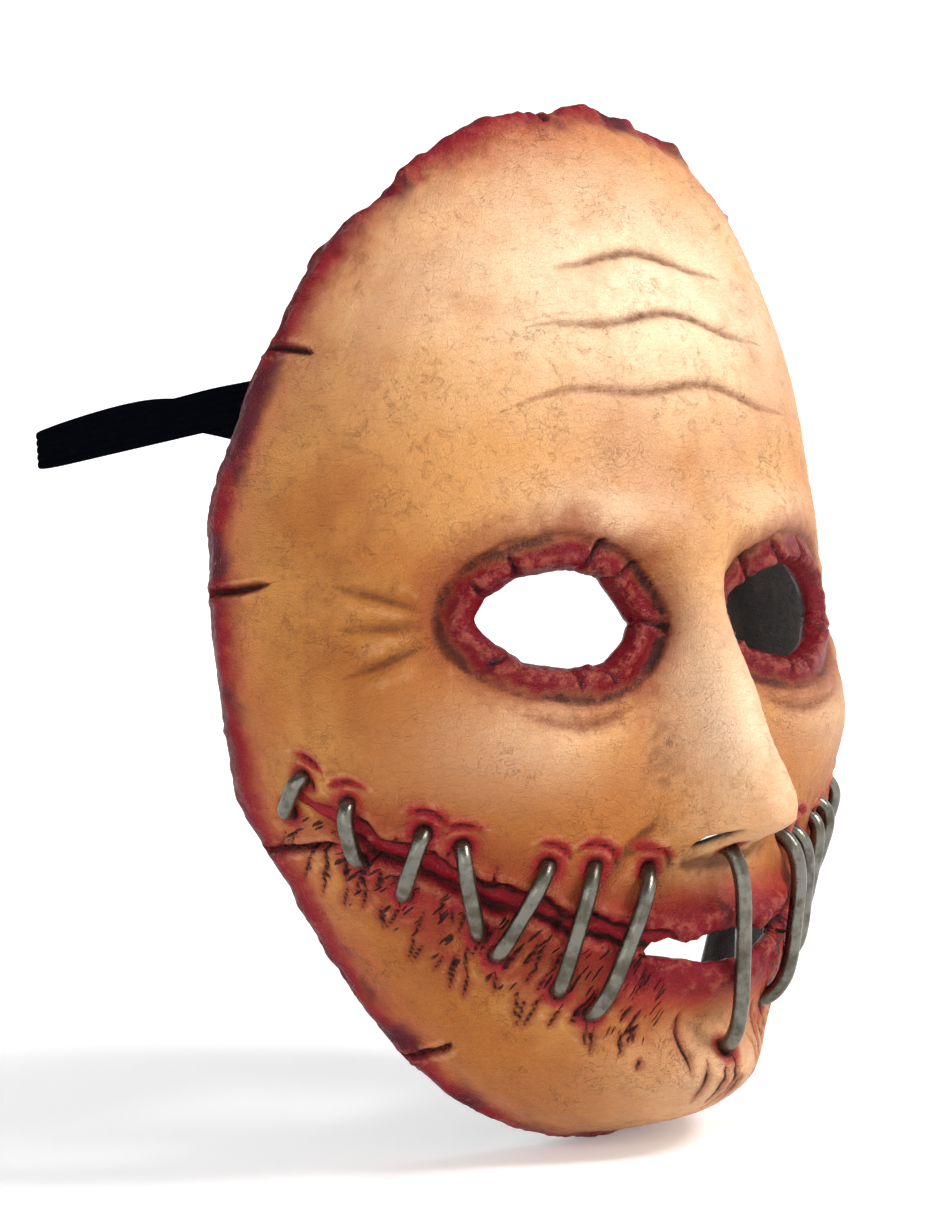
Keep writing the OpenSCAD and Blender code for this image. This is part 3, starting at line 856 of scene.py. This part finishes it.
def colour(red, green, blue):
    """A colour given as it looks, 0 to 255, as the linear values that Blender works in."""
    linear = [((c / 255 + 0.055) / 1.055) ** 2.4 if c > 10 else c / 255 / 12.92 for c in (red, green, blue)]
    return (*linear, 1)


class Paint:
    """A material's nodes, written as sums."""

    def __init__(self, name):
        self.material = bpy.data.materials.new(name)
        self.material.use_nodes = True
        self.tree = self.material.node_tree
        self.shader = self.tree.nodes["Principled BSDF"]
        self.place = self.node("TexCoord").outputs["Object"]

    def node(self, kind, inputs=()):
        node = self.tree.nodes.new("ShaderNode" + kind)
        for name, value in dict(inputs).items():
            self.put(node.inputs[name], value)
        return node

    def put(self, socket, value):
        if isinstance(value, bpy.types.NodeSocket):
            self.tree.links.new(value, socket)
        else:
            socket.default_value = value

    def field(self, name):
        node = self.node("Attribute")
        node.attribute_name = name
        return node.outputs["Fac"]

    def sum(self, operation, a, b=0.0, *more):
        node = self.node("Math", enumerate((a, b, *more)))
        node.operation = operation
        return node.outputs[0]

    def times(self, a, b):
        return self.sum("MULTIPLY", a, b)

    def plus(self, a, b):
        return self.sum("ADD", a, b)

    def sway(self, value, by):
        """A value round 0.5 as one round 0, made larger."""
        return self.times(self.sum("SUBTRACT", value, 0.5), by)

    def step(self, value, low, high, out_low=0.0, out_high=1.0):
        """A smooth change from out_low to out_high as value goes from low to high."""
        node = self.node("MapRange", {"Value": value})
        node.interpolation_type = "SMOOTHSTEP"
        ends = (low, high, out_low, out_high) if low < high else (high, low, out_high, out_low)
        for socket, end in zip(("From Min", "From Max", "To Min", "To Max"), ends):
            node.inputs[socket].default_value = end
        return node.outputs["Result"]

    def stretched(self, scale):
        return self.node("Mapping", {"Vector": self.place, "Scale": scale}).outputs["Vector"]

    def noise(self, size_mm, detail=4.0, rough=0.55, where=None, warp=0.0):
        """Noise from 0 to 1 with bumps about size_mm across."""
        inputs = {"Vector": where or self.place, "Scale": 1 / (size_mm * MM), "Detail": detail,
                  "Roughness": rough, "Distortion": warp}
        return self.node("TexNoise", inputs).outputs["Fac"]

    def cells(self, size_mm, where=None):
        node = self.node("TexVoronoi", {"Vector": where or self.place, "Scale": 1 / (size_mm * MM)})
        node.feature = "DISTANCE_TO_EDGE"
        return node.outputs["Distance"]

    def mix(self, share, a, b):
        node = self.node("Mix", {"Factor": share})
        node.data_type = "RGBA"
        sockets = [s for s in node.inputs if s.type == "RGBA"]
        self.put(sockets[0], a)
        self.put(sockets[1], b)
        return [s for s in node.outputs if s.type == "RGBA"][0]

    def bump(self, height, distance_mm):
        node = self.node("Bump", {"Distance": distance_mm * MM, "Strength": 1.0, "Height": height})
        self.put(self.shader.inputs["Normal"], node.outputs["Normal"])

    def surface(self, base, rough, metal=None, **fixed):
        self.put(self.shader.inputs["Base Color"], base)
        self.put(self.shader.inputs["Roughness"], rough)
        if metal is not None:
            self.put(self.shader.inputs["Metallic"], metal)
        for name, value in fixed.items():
            self.shader.inputs[name.replace("_", " ")].default_value = value
        return self.material


def latex_material():
    p = Paint("painted_latex")
    cloud, blotch, grain = p.noise(38, 3), p.noise(11, 4, 0.6), p.noise(2.2, 4, 0.65)
    wobble = p.plus(p.sway(blotch, 9.0), p.sway(grain, 3.5))

    tone = p.mix(p.step(cloud, 0.38, 0.62), colour(172, 104, 42), colour(196, 134, 66))
    # painted highlight: paler cream where the light falls most
    tone = p.mix(p.times(p.field("painted_highlight"), p.step(blotch, 0.25, 0.6, 0.6, 1.0)),
                      tone, colour(238, 206, 172))
    # painted shade: darker brown where the face turns away from the light
    tone = p.mix(p.times(p.field("painted_shade"), p.step(blotch, 0.3, 0.7, 0.4, 0.85)),
                      tone, colour(126, 62, 26))
    smear = p.times(p.step(p.noise(5, 5, 0.75, warp=1.2), 0.5, 0.7), p.step(cloud, 0.38, 0.58))
    tone = p.mix(p.times(smear, 0.5), tone, colour(122, 68, 34))

    def scratches(size_mm, squeeze, thin, patchy, low, high):
        """Fine lines where a stretched noise crosses its middle, kept to some patches of the skin."""
        n = p.noise(size_mm, 3, 0.6, p.stretched(squeeze), 0.8)
        line = p.step(p.sum("ABSOLUTE", p.sum("SUBTRACT", n, 0.5)), 0.0, thin, 1.0, 0.0)
        return p.times(line, p.step(p.noise(patchy, 3), low, high))

    scratch = scratches(2.8, (0.7, 0.7, 0.7), 0.012, 10, 0.5, 0.62)
    tone = p.mix(p.times(scratch, 0.34), tone, colour(92, 48, 26))
    speck = p.times(p.step(p.noise(0.9, 2, 0.5), 0.66, 0.74), p.step(blotch, 0.45, 0.62))
    tone = p.mix(p.times(speck, 0.5), tone, colour(84, 42, 24))

    hollow = p.plus(p.field("hollow"), p.sway(grain, 0.05))
    # painted shade: darker brown in the hollows, deeper the further the skin lies below its neighbours
    tone = p.mix(p.step(hollow, 0.05, 0.3, 0.0, 0.75), tone, colour(80, 38, 18))
    # painted highlight: paler on raised places
    tone = p.mix(p.step(hollow, -0.22, -0.05, 0.2, 0.0), tone, colour(226, 180, 132))
    # painted shade: darker brown along the crease of each fold
    fold = p.plus(p.field("fold"), p.sway(grain, 1.6))
    tone = p.mix(p.step(fold, 0.2, 2.6, 0.5, 0.0), tone, colour(118, 64, 36))

    def stain(tone, name, solid, fade, paint, most=1.0, sway=1.0):
        """Paint laid round a feature: full within solid mm, gone by fade mm."""
        away = p.plus(p.field(name), p.times(wobble, sway))
        return p.mix(p.step(away, solid, fade, most, 0.0), tone, paint)

    tone = stain(tone, "seam", 4.0, 19.0, colour(136, 46, 28), 0.8, 1.3)
    tone = p.mix(p.times(p.field("hatch"), p.step(blotch, 0.3, 0.6, 0.3, 0.8)), tone, colour(132, 38, 26))
    sore = p.times(p.field("hatch"), p.step(p.noise(8, 3), 0.5, 0.66))
    tone = p.mix(p.times(sore, 0.8), tone, colour(150, 22, 34))
    tone = stain(tone, "slash", 0.4, 2.8, colour(132, 34, 28), 0.5, 0.35)
    tone = stain(tone, "slot", 6.0, 17.0, colour(156, 46, 40), 0.8, 0.9)
    tone = stain(tone, "slot", 3.5, 10.0, colour(112, 10, 24), 0.95, 0.7)
    tone = stain(tone, "eye", 7.0, 17.0, colour(128, 52, 32), 0.75, 1.2)
    tone = stain(tone, "eye", 4.4, 7.2, colour(106, 6, 18), 1.0, 0.55)
    rim = p.plus(p.field("eye"), p.times(wobble, 0.5))
    rim_line = p.times(p.step(rim, 5.2, 6.8), p.step(rim, 7.0, 9.0, 1.0, 0.0))
    tone = p.mix(p.times(rim_line, p.step(blotch, 0.42, 0.58, 0.1, 0.8)), tone, colour(50, 10, 12))
    tone = stain(tone, "edge", 7.0, 21.0, colour(170, 82, 56), 0.55, 1.4)
    tone = stain(tone, "edge", 4.5, 12.5, colour(126, 12, 26), 1.0, 0.9)
    tone = stain(tone, "edge", 1.0, 6.0, colour(84, 4, 14), 0.85, 0.6)
    bruise = p.times(p.step(p.field("edge"), 6.0, 15.0, 1.0, 0.0), p.step(p.noise(17, 3), 0.52, 0.66))
    tone = p.mix(p.times(bruise, 0.75), tone, colour(54, 12, 28))
    wear = scratches(3.4, (1.0, 1.0, 0.2), 0.014, 8, 0.54, 0.64)
    wear = p.times(wear, p.step(p.field("edge"), 5.0, 14.0, 1.0, 0.0))
    tone = p.mix(p.times(wear, 0.4), tone, colour(206, 122, 100))
    tone = stain(tone, "pucker", 0.9, 3.2, colour(148, 26, 36), 0.9, 0.25)
    tone = stain(tone, "foot", 2.8, 5.4, colour(146, 26, 34), 0.9, 0.25)
    tone = stain(tone, "lip", 2.6, 4.6, colour(138, 22, 32), 1.0, 0.15)
    tone = stain(tone, "crack", 0.5, 2.0, colour(96, 14, 20), 0.8, 0.12)

    # painted highlight: a pinkish pale tone on raised places, broken up by the grain
    raised = p.step(hollow, -0.26, -0.06, 1.0, 0.0)
    raised_painted_highlight = p.times(raised, p.step(grain, 0.42, 0.62))
    tone = p.mix(p.times(raised_painted_highlight, 0.2), tone, colour(216, 132, 100))

    def hatch(spacing_mm, length_mm, thin, seed):
        """Short cuts side by side, each a long thin cell of its own."""
        join = p.node("CombineXYZ")
        sway = p.sway(p.noise(7, 2), 0.9)
        p.put(join.inputs["X"], p.plus(p.sum("MULTIPLY_ADD", p.field("hatch_u"), 1 / spacing_mm, seed), sway))
        p.put(join.inputs["Y"], p.times(p.field("hatch_v"), 1 / length_mm))
        node = p.node("TexVoronoi", {"Scale": 1.0, "Vector": join.outputs["Vector"]})
        node.voronoi_dimensions = "2D"
        size = p.sum("MULTIPLY_ADD", node.outputs["Color"], 0.6 * thin, 0.4 * thin)
        return p.step(p.sum("SUBTRACT", size, node.outputs["Distance"]), 0.0, 0.05)

    cuts = p.sum("MAXIMUM", hatch(1.9, 27.0, 0.2, 0.0), hatch(1.4, 18.0, 0.2, 7.3))
    cuts = p.times(cuts, p.step(p.field("hatch"), 0.2, 0.5))

    dark = colour(22, 6, 6)
    tone = p.mix(p.times(cuts, 0.92), tone, dark)
    groove = p.times(p.step(p.field("lip"), 1.0, 1.9), p.step(p.field("lip"), 2.3, 3.3, 1.0, 0.0))
    tone = p.mix(p.times(groove, p.step(blotch, 0.3, 0.55, 0.5, 0.95)), tone, dark)
    tone = stain(tone, "foot", 1.6, 3.0, dark, 0.85, 0.1)
    tone = stain(tone, "slash", 0.12, 0.75, dark, 0.95, 0.05)
    tone = stain(tone, "crack", 0.1, 0.9, dark, 0.95, 0.05)
    tone = stain(tone, "pucker", 0.1, 0.8, dark, 0.75, 0.06)
    # painted shade: near black in the deepest hollows
    tone = p.mix(p.step(hollow, 0.3, 0.6, 0.0, 0.8), tone, colour(30, 10, 10))
    within = p.plus(p.field("within"), p.sway(grain, 0.25))
    # painted shade: the inside and the inner half of every lip are painted near black, the shade inside the
    # mask
    inside_painted_shade = p.mix(p.step(blotch, 0.38, 0.62), colour(30, 20, 17), colour(52, 36, 29))
    tone = p.mix(p.step(within, 0.35, 0.7), tone, inside_painted_shade)

    pores = p.step(p.cells(0.75), 0.0, 0.22)
    craze = p.step(p.cells(2.6, where=p.stretched((1, 1, 1.5))), 0.0, 0.07)
    height = p.plus(p.times(pores, 0.35), p.plus(p.times(craze, 0.35), p.times(grain, 0.9)))
    height = p.plus(height, p.plus(p.times(p.noise(0.45, 3), 0.35), p.times(scratch, -0.6)))
    height = p.plus(height, p.times(cuts, -4.0))
    p.bump(height, 0.24)
    wet = p.step(p.field("eye"), 5.0, 10.0, -0.1, 0.0)
    rough = p.plus(p.step(grain, 0.3, 0.7, 0.36, 0.54), wet)
    return p.surface(tone, rough, Specular_IOR_Level=0.16)


def staple_material():
    p = Paint("aged_steel")
    patch, fine = p.noise(5, 4, 0.6), p.noise(0.8, 4, 0.6)
    tone = p.mix(p.step(patch, 0.4, 0.65), colour(116, 114, 106), colour(84, 79, 68))
    tone = p.mix(p.times(p.step(p.noise(3, 3), 0.58, 0.74), 0.6), tone, colour(84, 74, 54))
    rust = p.times(p.step(p.field("foot"), 0.8, 0.98), p.step(fine, 0.3, 0.6))
    tone = p.mix(rust, tone, colour(66, 26, 20))
    drawn = p.noise(0.35, 3, 0.6)
    p.bump(p.plus(p.times(fine, 0.8), p.times(drawn, 0.3)), 0.08)
    rough = p.plus(p.step(patch, 0.3, 0.7, 0.2, 0.36), p.times(rust, 0.3))
    metal = p.sum("SUBTRACT", 0.95, p.times(rust, 0.7))
    return p.surface(tone, rough, metal)


def elastic_material():
    p = Paint("woven_elastic")
    run, across = p.field("run"), p.field("across")
    ridge = p.sum("ABSOLUTE", p.sum("SINE", p.times(p.plus(across, strap_w / 2), math.pi * RIBS / strap_w)))
    knit = p.sum("SINE", p.plus(p.times(run, 2 * math.pi / 0.9), p.times(ridge, 2.2)))
    threads = p.sum("ABSOLUTE", p.sum("SINE", p.times(across, math.pi / 0.5)))
    weave = p.plus(p.times(knit, 0.5), p.times(threads, 0.5))
    fuzz = p.noise(0.6, 4, 0.65)
    tone = p.mix(p.step(weave, -0.2, 0.8), colour(2, 3, 5), colour(9, 11, 16))
    tone = p.mix(p.times(p.step(fuzz, 0.5, 0.75), 0.4), tone, colour(15, 18, 24))
    p.bump(p.plus(weave, p.times(fuzz, 0.5)), 0.12)
    return p.surface(tone, p.step(fuzz, 0.2, 0.8, 0.72, 0.92), Specular_IOR_Level=0.0)


def tab_material():
    p = Paint("glued_latex_tab")
    patch, grain = p.noise(6, 4, 0.6), p.noise(1.2, 4, 0.6)
    tone = p.mix(p.step(patch, 0.35, 0.65), colour(58, 40, 34), colour(84, 58, 46))
    tone = p.mix(p.step(grain, 0.6, 0.75), tone, colour(34, 24, 22))
    p.bump(p.plus(grain, p.times(patch, 0.6)), 0.2)
    return p.surface(tone, p.step(grain, 0.3, 0.7, 0.42, 0.62))


def floor_material():
    p = Paint("pale_floor")
    tone = p.mix(p.noise(300, 2), colour(244, 244, 244), colour(250, 250, 250))
    away = p.node("VectorMath", {0: p.place})
    away.operation = "LENGTH"
    glow = p.step(away.outputs["Value"], 0.15, 1.0, 0.22, 0.55)
    p.put(p.shader.inputs["Emission Strength"], glow)
    return p.surface(tone, 0.9, Specular_IOR_Level=0.1, Emission_Color=(1, 1, 1, 1))


# ---- Camera, light and floor -----------------------------------------------------------

AZIMUTH, ELEVATION, ROLL = (math.radians(a) for a in (-38, -2, 4))
DISTANCE = 0.5
FOCAL_MM = 61.3
LOOK_AT = Vector((0, -0.040, 0))
AIM_RIGHT, AIM_UP = -0.033, 0.0057


def make_camera():
    back = Vector((math.sin(AZIMUTH) * math.cos(ELEVATION), -math.cos(AZIMUTH) * math.cos(ELEVATION),
                   math.sin(ELEVATION)))
    right = Vector((math.cos(AZIMUTH), math.sin(AZIMUTH), 0))
    up = back.cross(right)
    place = LOOK_AT + right * AIM_RIGHT + up * AIM_UP + back * DISTANCE
    cam_right = right * math.cos(ROLL) - up * math.sin(ROLL)
    cam_up = right * math.sin(ROLL) + up * math.cos(ROLL)
    camera = new_object("camera", bpy.data.cameras.new("camera"))
    axes = Matrix([cam_right, cam_up, back]).transposed()
    camera.matrix_world = Matrix.Translation(place) @ axes.to_4x4()
    camera.data.lens = FOCAL_MM
    camera.data.clip_start = 0.01
    bpy.context.scene.camera = camera


def add_light(name, place, size, watts, at=(0, -0.03, 0)):
    lamp = bpy.data.lights.new(name, "AREA")
    lamp.size, lamp.energy = size, watts
    obj = new_object(name, lamp)
    obj.location = place
    obj.rotation_euler = (Vector(at) - Vector(place)).to_track_quat("-Z", "Y").to_euler()


def make_light():
    world = bpy.data.worlds.new("studio")
    world.use_nodes = True
    background = world.node_tree.nodes["Background"].inputs
    background["Color"].default_value = (1, 1, 1, 1)
    background["Strength"].default_value = 0.22
    bpy.context.scene.world = world
    bpy.context.scene.view_settings.view_transform = "Standard"
    add_light("key", (0.42, -0.85, 0.72), 0.26, 10.5)
    add_light("fill", (-1.0, -0.55, 0.25), 0.6, 1.2)
    add_light("top", (0.0, 0.15, 1.1), 0.6, 1.8)


# in metres
FLOOR_GAP, FLAT_R, BEND_R, FLOOR_TOP = 0.0015, 1.5, 0.9, 1.7
FLOOR_SIDES = 72


def make_floor():
    """A round pale sheet, flat under the mask and rising into a rim far behind it."""
    low = cad_low[2] - FLOOR_GAP
    rings = [(r, 0.0) for r in (0.001, 0.3, 0.8, FLAT_R)]
    for a in np.linspace(0.1, math.pi / 2, 12):
        rings.append((FLAT_R + BEND_R * math.sin(a), BEND_R - BEND_R * math.cos(a)))
    rings.append((FLAT_R + BEND_R, FLOOR_TOP))
    points = []
    for r, rise in rings:
        for k in range(FLOOR_SIDES):
            turn = 2 * math.pi * k / FLOOR_SIDES
            points.append((r * math.cos(turn) / MM, r * math.sin(turn) / MM, (low + rise) / MM))
    floor = new_mesh("floor", points, tube_faces(len(rings), FLOOR_SIDES)[:-1])
    floor.data.materials.append(floor_material())


# ---- Putting it together -----------------------------------------------------------------

make_camera()
make_light()
make_floor()

shell = make_shell()
shell.data.materials.append(latex_material())
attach(shell, "mask")
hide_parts("latex_face")

steel = staple_material()
for name in STAPLES:
    staple = make_staple(name)
    staple.data.materials.append(steel)
    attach(staple, "mask")
    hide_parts(name)

band = make_strap()
band.data.materials.append(elastic_material())
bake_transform(band)
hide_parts("elastic_strap", "strap_end_right", "strap_end_left")

tab_finish = tab_material()
for side in (-1, 1):
    tab = make_tab(side)
    tab.data.materials.append(tab_finish)
    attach(tab, "mask")
    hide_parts(f"strap_tab_{SIDE_NAMES[side]}")
